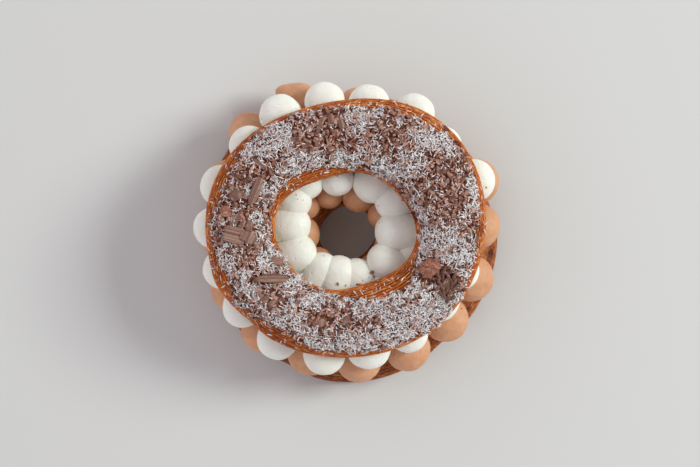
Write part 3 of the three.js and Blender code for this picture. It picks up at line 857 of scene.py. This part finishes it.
def scatter(name, piece, here, per_cm2, tilt, lift, sizes, seed):
    """here: the number painted on the lid that says how many lie where. lift: the lowest and highest, in mm."""
    tree = bpy.data.node_groups.new(name, "GeometryNodeTree")
    tree.interface.new_socket("Geometry", in_out="OUTPUT", socket_type="NodeSocketGeometry")
    carrier = add(tree, "GeometryNodeObjectInfo", {"Object": lid_crust}).node.outputs["Geometry"]
    density = add(tree, "GeometryNodeInputNamedAttribute", {"Name": here})
    per_m2 = add(tree, "ShaderNodeMath", {0: density, 1: per_cm2 * SQUARE_METRE}, operation="MULTIPLY")
    points = add(tree, "GeometryNodeDistributePointsOnFaces", {"Mesh": carrier, "Density": per_m2, "Seed": seed})
    normal, flat = points.node.outputs["Normal"], points.node.outputs["Rotation"]
    raised = add(tree, "FunctionNodeRandomValue", {"Min": lift[0] * MM, "Max": lift[1] * MM, "Seed": seed + 1})
    offset = add(tree, "ShaderNodeVectorMath", {0: normal, "Scale": raised}, operation="SCALE")
    lifted = add(tree, "GeometryNodeSetPosition", {"Geometry": points, "Offset": offset})
    lowest, highest = (-tilt, -tilt, 0), (tilt, tilt, 2 * math.pi)
    angles = add(tree, "FunctionNodeRandomValue", {"Min": lowest, "Max": highest, "Seed": seed + 2},
                 data_type="FLOAT_VECTOR")
    spin = add(tree, "FunctionNodeEulerToRotation", {0: angles})
    turned = add(tree, "FunctionNodeRotateRotation", {0: flat, 1: spin}, rotation_space="LOCAL")
    smallest, largest = (sizes[0],) * 3, (sizes[1],) * 3
    scale = add(tree, "FunctionNodeRandomValue", {"Min": smallest, "Max": largest, "Seed": seed + 3},
                data_type="FLOAT_VECTOR")
    one = add(tree, "GeometryNodeObjectInfo", {"Object": piece, "As Instance": True}).node.outputs["Geometry"]
    copies = add(tree, "GeometryNodeInstanceOnPoints", {"Points": lifted, "Instance": one, "Rotation": turned,
                                                        "Scale": scale})
    chance = add(tree, "FunctionNodeRandomValue", {"Seed": seed + 4})
    toned = add(tree, "GeometryNodeStoreNamedAttribute", {"Geometry": copies, "Name": "tone", "Value": chance},
                data_type="FLOAT", domain="INSTANCE")
    real = add(tree, "GeometryNodeRealizeInstances", {"Geometry": toned})
    add(tree, "NodeGroupOutput", {0: real})
    deselect()
    bpy.ops.mesh.primitive_plane_add(size=0.001)
    made = named(name)
    modifier = made.modifiers.new("Scatter", "NODES")
    modifier.node_group = tree
    bpy.ops.object.modifier_apply(modifier=modifier.name)
    bpy.data.objects.remove(piece)
    print(f"{name}: {triangles(made)} triangles")
    return made


# %% [markdown]
# A shred is a thin strip, bent and drawn in at its ends. It starts as a small box, cut across so that it can
# bend. A flake is broader, with broken corners. Both have only a few faces, since there are thousands.

# %% The shred, the flake and the grain
def strip(name, cuts):
    """A cube of size 1, cut across at each share of its length."""
    deselect()
    bpy.ops.mesh.primitive_cube_add(size=1)
    piece = named(name)
    bpy.ops.object.mode_set(mode="EDIT")
    for share in cuts:
        bpy.ops.mesh.select_all(action="SELECT")
        bpy.ops.mesh.bisect(plane_co=(share, 0, 0), plane_no=(1, 0, 0))
    bpy.ops.object.mode_set(mode="OBJECT")
    return piece


def sliver(name, size, cuts, bend, ragged, seed):
    """A box cut across, bent by so many mm and drawn in at its ends, with its corners moved by chance."""
    length, width, height = size
    piece = strip(name, cuts)
    x, y, z = (points_of(piece) * MM).T
    ends = 1 - 0.55 * (2 * np.abs(x)) ** 3
    shaped = np.column_stack([x * length, y * width * ends, z * height * ends])
    shaped[:, 1] += bend * (1 - (2 * x) ** 2)
    shaped[:, 2] += 0.5 * bend * (2 * x) ** 2
    stream = random_from(seed)
    chance = np.array([next(stream) for _ in range(shaped.size)]).reshape(-1, 3) - 0.5
    return press(piece, shaped + chance * np.array(size) * ragged)


shred = sliver("shred", [3.0, 0.7, 0.35], [0.1], 0.07, 0.14, 5)
bit = sliver("coconut_bit", [1.5, 0.75, 0.4], [], 0, 0.25, 6)
flake = sliver("flake", [3.5, 1.7, 0.8], [-0.18, 0.2], 0.3, 0.3, 8)
chip = sliver("chip", [2.0, 1.4, 0.9], [0.1], 0.1, 0.42, 9)
grain = sliver("grain", [1.3, 1.0, 0.8], [], 0, 0.35, 12)
chocolate_grains = scatter("chocolate_grains", grain, "topped", 24, 0.9, (0.0, 0.7), (0.6, 1.3), 1)
chocolate_chips = scatter("chocolate_chips", chip, "chocolate_here", 22, 0.6, (0.2, 1.3), (0.6, 1.2), 2)
chocolate_flakes = scatter("chocolate_flakes", flake, "chocolate_here", 13, 0.45, (0.3, 1.9), (0.5, 1.3), 3)
coconut_shreds = scatter("coconut_shreds", shred, "coconut_here", 66, 0.35, (0.5, 2.0), (0.5, 1.3), 4)
coconut_bits = scatter("coconut_bits", bit, "drift_here", 70, 0.5, (0.4, 1.9), (0.6, 1.3), 5)

# %% [markdown]
# Crumbs fell all over: chocolate at the front of the inner ring, and bright bits of crust on the domes and in
# the topping. A scatter would spread them evenly, so each is a small broken pebble, dropped where the photograph
# shows it. Each row is its place and its size.

# %% Crumbs
food_tree = tree_of([base_crust, praline_domes, whipped_domes, lid_crust])


def crumbs(name, rows, seed):
    made, stream = [], random_from(seed)
    for i, (x, y, size) in enumerate(rows):
        piece = pebble(f"{name}_{i}", size / 2)
        lengths = np.array([1, 0.6 + 0.35 * next(stream), 0.5 + 0.3 * next(stream)])
        spin = np.array(Matrix.Rotation(6.28 * next(stream), 3, "Z"))
        points = points_of(piece)
        shaped = (points * (1 + 0.4 * wobble(points / size, 0.45, seed + i))[:, None] * lengths) @ spin.T
        paint(piece, "tone", np.full(len(points), next(stream)))
        point, normal = drop(food_tree, x, y)
        made.append(press(piece, shaped + point + 0.2 * size * normal))
    return join(made, name)


chocolate_crumbs = crumbs("chocolate_crumbs", [
    [-8.7, -36, 2.6], [-3.2, -37.1, 1.6], [5.3, -36.4, 1.6], [16.4, -27.5, 3], [-66.5, 13, 1.5], [9, -33.5, 0.9],
    [20.5, 20, 0.8], [-37.5, 24.5, 0.9], [62.5, -70, 1], [92, 2.5, 0.9], [-2, 21.5, 0.7],
], 81)
crust_crumbs = crumbs("crust_crumbs", [
    [7.2, -36.4, 2], [8.7, -36.9, 1.6], [6.2, 17.8, 1], [-9, 41.3, 1.4], [97.5, 33.1, 1.6], [40.6, 91.6, 1.7],
    [-23.2, 91, 2], [-56.8, 49.4, 1.8], [82, -40.3, 2], [30.9, -50.1, 2.4], [13.5, -31.5, 1], [29.5, -29, 1.4],
    [-22.5, 88.3, 1.4], [70.5, -46.5, 1.5], [-38.5, 27.5, 1.1], [-50.5, 17.5, 0.9], [84.5, 44, 1.5],
], 82)
print("crumbs:", triangles(chocolate_crumbs) + triangles(crust_crumbs), "triangles")


# %% [markdown]
# Materials. Each is named for what it is. Colours are given as a screen shows them and turned to the linear
# numbers that light adds up in, and a pattern's scale is one over its real size in metres. Pictures could give
# the same finish, but patterns made of noise stay sharp close up and run through the whole piece.

# %% Helpers for materials
def linear(colour):
    """An sRGB colour such as #a0552c as linear numbers."""
    parts = [int(colour[i : i + 2], 16) / 255 for i in (1, 3, 5)]
    return [p / 12.92 if p <= 0.04045 else ((p + 0.055) / 1.055) ** 2.4 for p in parts] + [1]


def material(name, colour, roughness, shine=0.25):
    """A material with its tree of nodes and its shader."""
    made = bpy.data.materials.new(name)
    made.use_nodes = True
    shader = made.node_tree.nodes["Principled BSDF"]
    shader.inputs["Base Color"].default_value = linear(colour)
    shader.inputs["Roughness"].default_value = roughness
    shader.inputs["Specular IOR Level"].default_value = shine
    return made, made.node_tree, shader


def patchy(tree, place, size, detail, low, high):
    """Patches about as long as the size in mm: 0 outside, 1 inside, with soft edges from low to high."""
    chance = add(tree, "ShaderNodeTexNoise", {"Vector": place, "Scale": 1000 / size, "Detail": detail})
    inputs = {"Value": chance, "From Min": low, "From Max": high}
    return add(tree, "ShaderNodeMapRange", inputs, interpolation_type="SMOOTHSTEP")


def coat(tree, under, over, share, strength=1.0):
    """Lays one colour over another by a share of 0 to 1, no stronger than the strength."""
    thickness = add(tree, "ShaderNodeMath", {0: share, 1: strength}, operation="MULTIPLY")
    inputs = {"Factor": thickness, "A": under, "B": linear(over)}
    return add(tree, "ShaderNodeMix", inputs, data_type="RGBA")


# %% [markdown]
# Choux brushed with egg bakes to a low gloss: golden where it is thin and deep brown on its high places. Its
# furrows are painted nearly black-brown as painted shade. Streaks run with the ridges, so their noise is read
# along the ring's own arc, drawn out to several times its length round the ring. Cut, it shows pale open crumb.
# Under the topping it is dusted with chocolate, whose dark end is also painted shade in the gaps between the
# pieces.

# %% Egg-washed baked choux
STREAKS_ROUND = 280  # per metre round the ring, where the arc counts 1000


# The fourth colour is a dark brown for random streaks and specks, and for the painted shade in the furrows.
def baked_choux(name, golden, brown, bright, streak_and_furrow_shade):
    made, tree, shader = material(name, golden, 0.45)
    place = add(tree, "ShaderNodeTexCoord").node.outputs["Object"]
    held = {mark: add(tree, "ShaderNodeAttribute", attribute_name=mark).node.outputs["Fac"]
            for mark in ("arc", "furrow", "cut", "topped")}
    parts = add(tree, "ShaderNodeSeparateXYZ", {0: place}).node.outputs
    x, y = [add(tree, "ShaderNodeMath", {0: parts[axis], 1: STREAKS_ROUND}, operation="MULTIPLY")
            for axis in (0, 1)]
    along = add(tree, "ShaderNodeCombineXYZ", {0: x, 1: y, 2: held["arc"]})
    lines = add(tree, "ShaderNodeTexNoise", {"Vector": along, "Scale": 0.8, "Detail": 3})
    mottle = patchy(tree, place, 3.2, 5, 0.32, 0.72)
    pale = add(tree, "ShaderNodeMapRange", {"Value": lines, "From Min": 0.5, "From Max": 0.64})
    dark = add(tree, "ShaderNodeMapRange", {"Value": lines, "From Min": 0.5, "From Max": 0.38})
    # Painted shade: the deeper the furrow, the darker the crust is painted.
    furrow_shade = add(tree, "ShaderNodeMapRange", {"Value": held["furrow"], "From Min": 0.12, "From Max": 0.75})
    crust = coat(tree, linear(golden), brown, patchy(tree, place, 22, 3, 0.35, 0.65))
    crust = coat(tree, crust, brown, mottle, 0.5)
    crust = coat(tree, crust, bright, pale, 0.7)
    crust = coat(tree, crust, streak_and_furrow_shade, dark, 0.4)
    crust = coat(tree, crust, streak_and_furrow_shade, furrow_shade, 0.95)
    crust = coat(tree, crust, bright, patchy(tree, place, 0.9, 4, 0.5, 0.7), 0.4)
    crust = coat(tree, crust, streak_and_furrow_shade, patchy(tree, place, 1.5, 3, 0.58, 0.72), 0.5)
    crumb = coat(tree, linear("#e0b680"), "#a86f3c", patchy(tree, place, 2.2, 3, 0.45, 0.6))
    baked = add(tree, "ShaderNodeMix", {"Factor": held["cut"], "A": crust, "B": crumb}, data_type="RGBA")
    # Chocolate dust under the topping; its dark end is also painted shade in the gaps between the pieces.
    dust_and_gap_shade = coat(tree, linear("#4c1d11"), "#a35c38", patchy(tree, place, 1.8, 4, 0.35, 0.75))
    under = add(tree, "ShaderNodeMath", {0: held["topped"], 1: 0.9}, operation="MULTIPLY")
    finish = add(tree, "ShaderNodeMix", {"Factor": under, "A": baked, "B": dust_and_gap_shade}, data_type="RGBA")
    tree.links.new(finish, shader.inputs["Base Color"])
    gloss = add(tree, "ShaderNodeMapRange", {"Value": mottle, "To Min": 0.36, "To Max": 0.6})
    tree.links.new(gloss, shader.inputs["Roughness"])
    streaks = add(tree, "ShaderNodeBump", {"Height": lines, "Distance": 0.9 * MM})
    blisters = patchy(tree, place, 1.3, 5, 0.2, 0.8)
    relief = add(tree, "ShaderNodeBump", {"Height": blisters, "Distance": 0.3 * MM, "Normal": streaks})
    tree.links.new(relief, shader.inputs["Normal"])
    return made


# The last colour of each is the dark of its streaks and the painted shade of its furrows.
lid_choux = baked_choux("egg_washed_choux_lid", "#da7025", "#b4531c", "#ffab55", "#5c1b08")
base_choux = baked_choux("baked_choux_base", "#b9622f", "#8f4519", "#dc8f50", "#4c1f0b")

# %% [markdown]
# Piped cream is smooth and softly shining, and a little light passes into it. Besides the holes cut above, the
# finest air leaves pinholes, too many to cut. A cell pattern gives one to a cell, and most cells are left
# without. Each pinhole is darkened as painted shade and sunk a little with a bump.

# %% Praline cream and whipped cream
def piped_cream(name, light, deep, pinhole_shade, pit_every, glow, depth):
    made, tree, shader = material(name, light, 0.5, 0.4)
    place = add(tree, "ShaderNodeTexCoord").node.outputs["Object"]
    cream = coat(tree, linear(light), deep, patchy(tree, place, 16, 3, 0.3, 0.7), 0.5)
    cream = coat(tree, cream, deep, patchy(tree, place, 4, 5, 0.4, 0.8), 0.35)
    cells = add(tree, "ShaderNodeTexVoronoi", {"Vector": place, "Scale": 1000 / pit_every}).node.outputs
    chance = add(tree, "ShaderNodeSeparateXYZ", {0: cells["Color"]})
    chosen = add(tree, "ShaderNodeMath", {0: chance, 1: 0.6}, operation="GREATER_THAN")
    inputs = {"Value": cells["Distance"], "From Min": 0.05, "From Max": 0.11, "To Min": 1, "To Max": 0}
    near = add(tree, "ShaderNodeMapRange", inputs)
    pinholes = add(tree, "ShaderNodeMath", {0: near, 1: chosen}, operation="MULTIPLY")
    # Painted shade: each pinhole is darkened towards the pinhole colour.
    tree.links.new(coat(tree, cream, pinhole_shade, pinholes, 0.7), shader.inputs["Base Color"])
    shader.inputs["Subsurface Weight"].default_value = glow
    shader.inputs["Subsurface Radius"].default_value = (1.0, 0.8, 0.6)
    shader.inputs["Subsurface Scale"].default_value = depth * MM
    folds, grain = patchy(tree, place, 4.5, 2, 0.2, 0.8), patchy(tree, place, 0.7, 3, 0.2, 0.8)
    relief = add(tree, "ShaderNodeBump", {"Height": folds, "Distance": 0.25 * MM})
    relief = add(tree, "ShaderNodeBump", {"Height": grain, "Distance": 0.05 * MM, "Normal": relief})
    relief = add(tree, "ShaderNodeBump", {"Height": pinholes, "Distance": -0.5 * MM, "Normal": relief})
    tree.links.new(relief, shader.inputs["Normal"])
    return made


# The third colour of each is the painted shade inside the pinholes.
praline_cream = piped_cream("piped_praline_cream", "#dea67e", "#c38861", "#7c4d34", 8.5, 0.15, 2.5)
whipped_cream = piped_cream("piped_whipped_cream", "#f7f7ec", "#efeddf", "#b9ae94", 7.5, 0.6, 6)

# %% [markdown]
# Desiccated coconut is white and dry, and milk chocolate shaved cold is dull. Their bits are too small to show
# a pattern, so each copy has one tone of its own. The larger pieces show streaks, with paler fat along the
# blade's path.

# %% Coconut, chocolate and crumbs of crust
def toned(name, first, last, roughness):
    """A plain finish that runs from one colour to another by each copy's tone."""
    made, tree, shader = material(name, first, roughness)
    tone = add(tree, "ShaderNodeAttribute", attribute_name="tone").node.outputs["Fac"]
    tree.links.new(coat(tree, linear(first), last, tone), shader.inputs["Base Color"])
    return made


def shaved_chocolate(name, dark, middle, pale, streak_size):
    made, tree, shader = material(name, middle, 0.5)
    place = add(tree, "ShaderNodeTexCoord").node.outputs["Object"]
    tone, grain = [add(tree, "ShaderNodeAttribute", attribute_name=mark).node.outputs["Fac"]
                   for mark in ("tone", "grain")]
    across = add(tree, "ShaderNodeCombineXYZ", {0: grain, 1: tone})
    lines = add(tree, "ShaderNodeTexNoise", {"Vector": across, "Scale": 1 / streak_size, "Detail": 4})
    light = add(tree, "ShaderNodeMapRange", {"Value": lines, "From Min": 0.5, "From Max": 0.66})
    shade = add(tree, "ShaderNodeMapRange", {"Value": lines, "From Min": 0.5, "From Max": 0.36})
    colour = coat(tree, linear(middle), dark, tone, 0.4)
    colour = coat(tree, colour, pale, light, 0.7)
    colour = coat(tree, colour, dark, shade, 0.75)
    colour = coat(tree, colour, dark, patchy(tree, place, 1.3, 4, 0.4, 0.7), 0.4)
    tree.links.new(colour, shader.inputs["Base Color"])
    streaks = add(tree, "ShaderNodeBump", {"Height": lines, "Distance": 0.8 * MM})
    crumbly = patchy(tree, place, 0.9, 4, 0.2, 0.8)
    relief = add(tree, "ShaderNodeBump", {"Height": crumbly, "Distance": 0.3 * MM, "Normal": streaks})
    tree.links.new(relief, shader.inputs["Normal"])
    return made


desiccated_coconut = toned("desiccated_coconut", "#ffffff", "#d3c8c2", 0.6)
flaked_chocolate = toned("milk_chocolate_flakes", "#5f3529", "#c79c8a", 0.6)
chipped_chocolate = toned("milk_chocolate_chips", "#56291d", "#cf957d", 0.6)
# The grains lie low between the larger pieces; their dark end is chocolate and also painted shade in those gaps.
grains_and_gap_shade = toned("fine_dark_chocolate", "#3a170f", "#995c49", 0.6)
baked_crumb = toned("crumbs_of_crust", "#cf6418", "#ee8a26", 0.5)
milk_chocolate = shaved_chocolate("shaved_milk_chocolate", "#603a2d", "#a37c6b", "#c8a594", 1.3)
broken_chocolate = shaved_chocolate("broken_milk_chocolate", "#77412f", "#b97e67", "#d9a48d", 1.3)
rolled_chocolate = shaved_chocolate("rolled_dark_shavings", "#482920", "#8a6152", "#b8917f", 0.8)
print("finishes:", ", ".join(made.name for made in bpy.data.materials if made.users == 0))

# %% [markdown]
# Each piece gets one finish. Nothing on a pastry moves by itself, so all of them ride on the one body, and each
# that has a solid of its own takes its place. Faces are smoothed except on the smallest bits, whose broken
# corners should stay sharp.

# %% Give every piece its finish and its body, and hide its solid
PIECES = [
    (base_crust, base_choux, "baked_choux", "base"),
    (praline_domes, praline_cream, "praline_cream", "praline_cream"),
    (whipped_domes, whipped_cream, "whipped_cream", "white_cream"),
    (lid_crust, lid_choux, "topped_choux", "lid"),
    (chocolate_shards, milk_chocolate, "milk_chocolate", None),
    (chocolate_flakes, flaked_chocolate, "milk_chocolate", None),
    (chocolate_chips, chipped_chocolate, "milk_chocolate", None),
    (chocolate_grains, grains_and_gap_shade, "milk_chocolate", None),
    (chocolate_crumbs, flaked_chocolate, "milk_chocolate", None),
    (crust_crumbs, baked_crumb, "baked_choux", None),
    (coconut_shreds, desiccated_coconut, "topped_choux", None),
    (coconut_bits, desiccated_coconut, "topped_choux", None),
]
LARGE_FINISH = {
    "chocolate_lump": broken_chocolate,
    "chocolate_button": broken_chocolate,
    "chocolate_roll": rolled_chocolate,
}
for node, piece in large_chocolates.items():
    PIECES.append((piece, LARGE_FINISH.get(node, milk_chocolate), "milk_chocolate", node))
SMOOTH_BELOW = 40  # degrees between two faces
SHARP = {"chocolate_flakes", "chocolate_chips", "chocolate_grains", "coconut_shreds", "coconut_bits"}
for piece, finish, slot, node in PIECES:
    piece.data.materials.clear()
    piece.data.materials.append(finish)
    if piece.name not in SHARP:
        select_only([piece])
        bpy.ops.object.shade_smooth_by_angle(angle=math.radians(SMOOTH_BELOW))
    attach(piece, "root")
    if node:
        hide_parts(node)
print("pieces:", len(PIECES), "with", sum(triangles(row[0]) for row in PIECES), "triangles")

# %% [markdown]
# The stage is a plain pale floor. A soft light stands low on the right, as a window does, so long shadows fall
# to the left. More lamps could fill them, but a room of even light does it without second shadows: brighter on
# the left, and dark straight above, where a lamp would flatten the relief.

# %% Floor and light
FLOOR_SIZE = 8  # metres, as are the window's place and size
deselect()
bpy.ops.mesh.primitive_plane_add(size=FLOOR_SIZE)
floor = named("floor")
floor.data.materials.append(material("pale_floor", "#dcdbd7", 0.75)[0])

WINDOW_PLACE, WINDOW_SIZE, WINDOW_POWER = (3.985, 1.143, 2.796), 1.68, 191
deselect()
aim = (-Vector(WINDOW_PLACE)).to_track_quat("-Z", "Y").to_euler()
bpy.ops.object.light_add(type="AREA", location=WINDOW_PLACE, rotation=aim)
window = bpy.context.active_object
window.name = "window"
window.data.shape = "SQUARE"
window.data.size = WINDOW_SIZE
window.data.energy = WINDOW_POWER
window.data.color = linear("#f6fdf9")[:3]

world = bpy.data.worlds.new("pale_room")
world.use_nodes = True
room = world.node_tree
direction = add(room, "ShaderNodeTexCoord").node.outputs["Generated"]
parts = add(room, "ShaderNodeSeparateXYZ", {0: direction}).node.outputs
inputs = {"Value": parts["X"], "From Min": -0.8, "From Max": 0.8, "To Min": 1.0, "To Max": 0.33}
walls = add(room, "ShaderNodeMapRange", inputs)
inputs = {"Value": parts["Z"], "From Min": 0.88, "From Max": 0.95, "To Min": 1, "To Max": 0.0}
not_above = add(room, "ShaderNodeMapRange", inputs)
brightness = add(room, "ShaderNodeMath", {0: walls, 1: not_above}, operation="MULTIPLY")
background = room.nodes["Background"]
background.inputs["Color"].default_value = linear("#faf6ff")
room.links.new(brightness, background.inputs["Strength"])
bpy.context.scene.world = world
bpy.context.scene.view_settings.view_transform = "Standard"
print("floor of", FLOOR_SIZE, "m, and a window of", WINDOW_SIZE, "m that gives", WINDOW_POWER, "W")
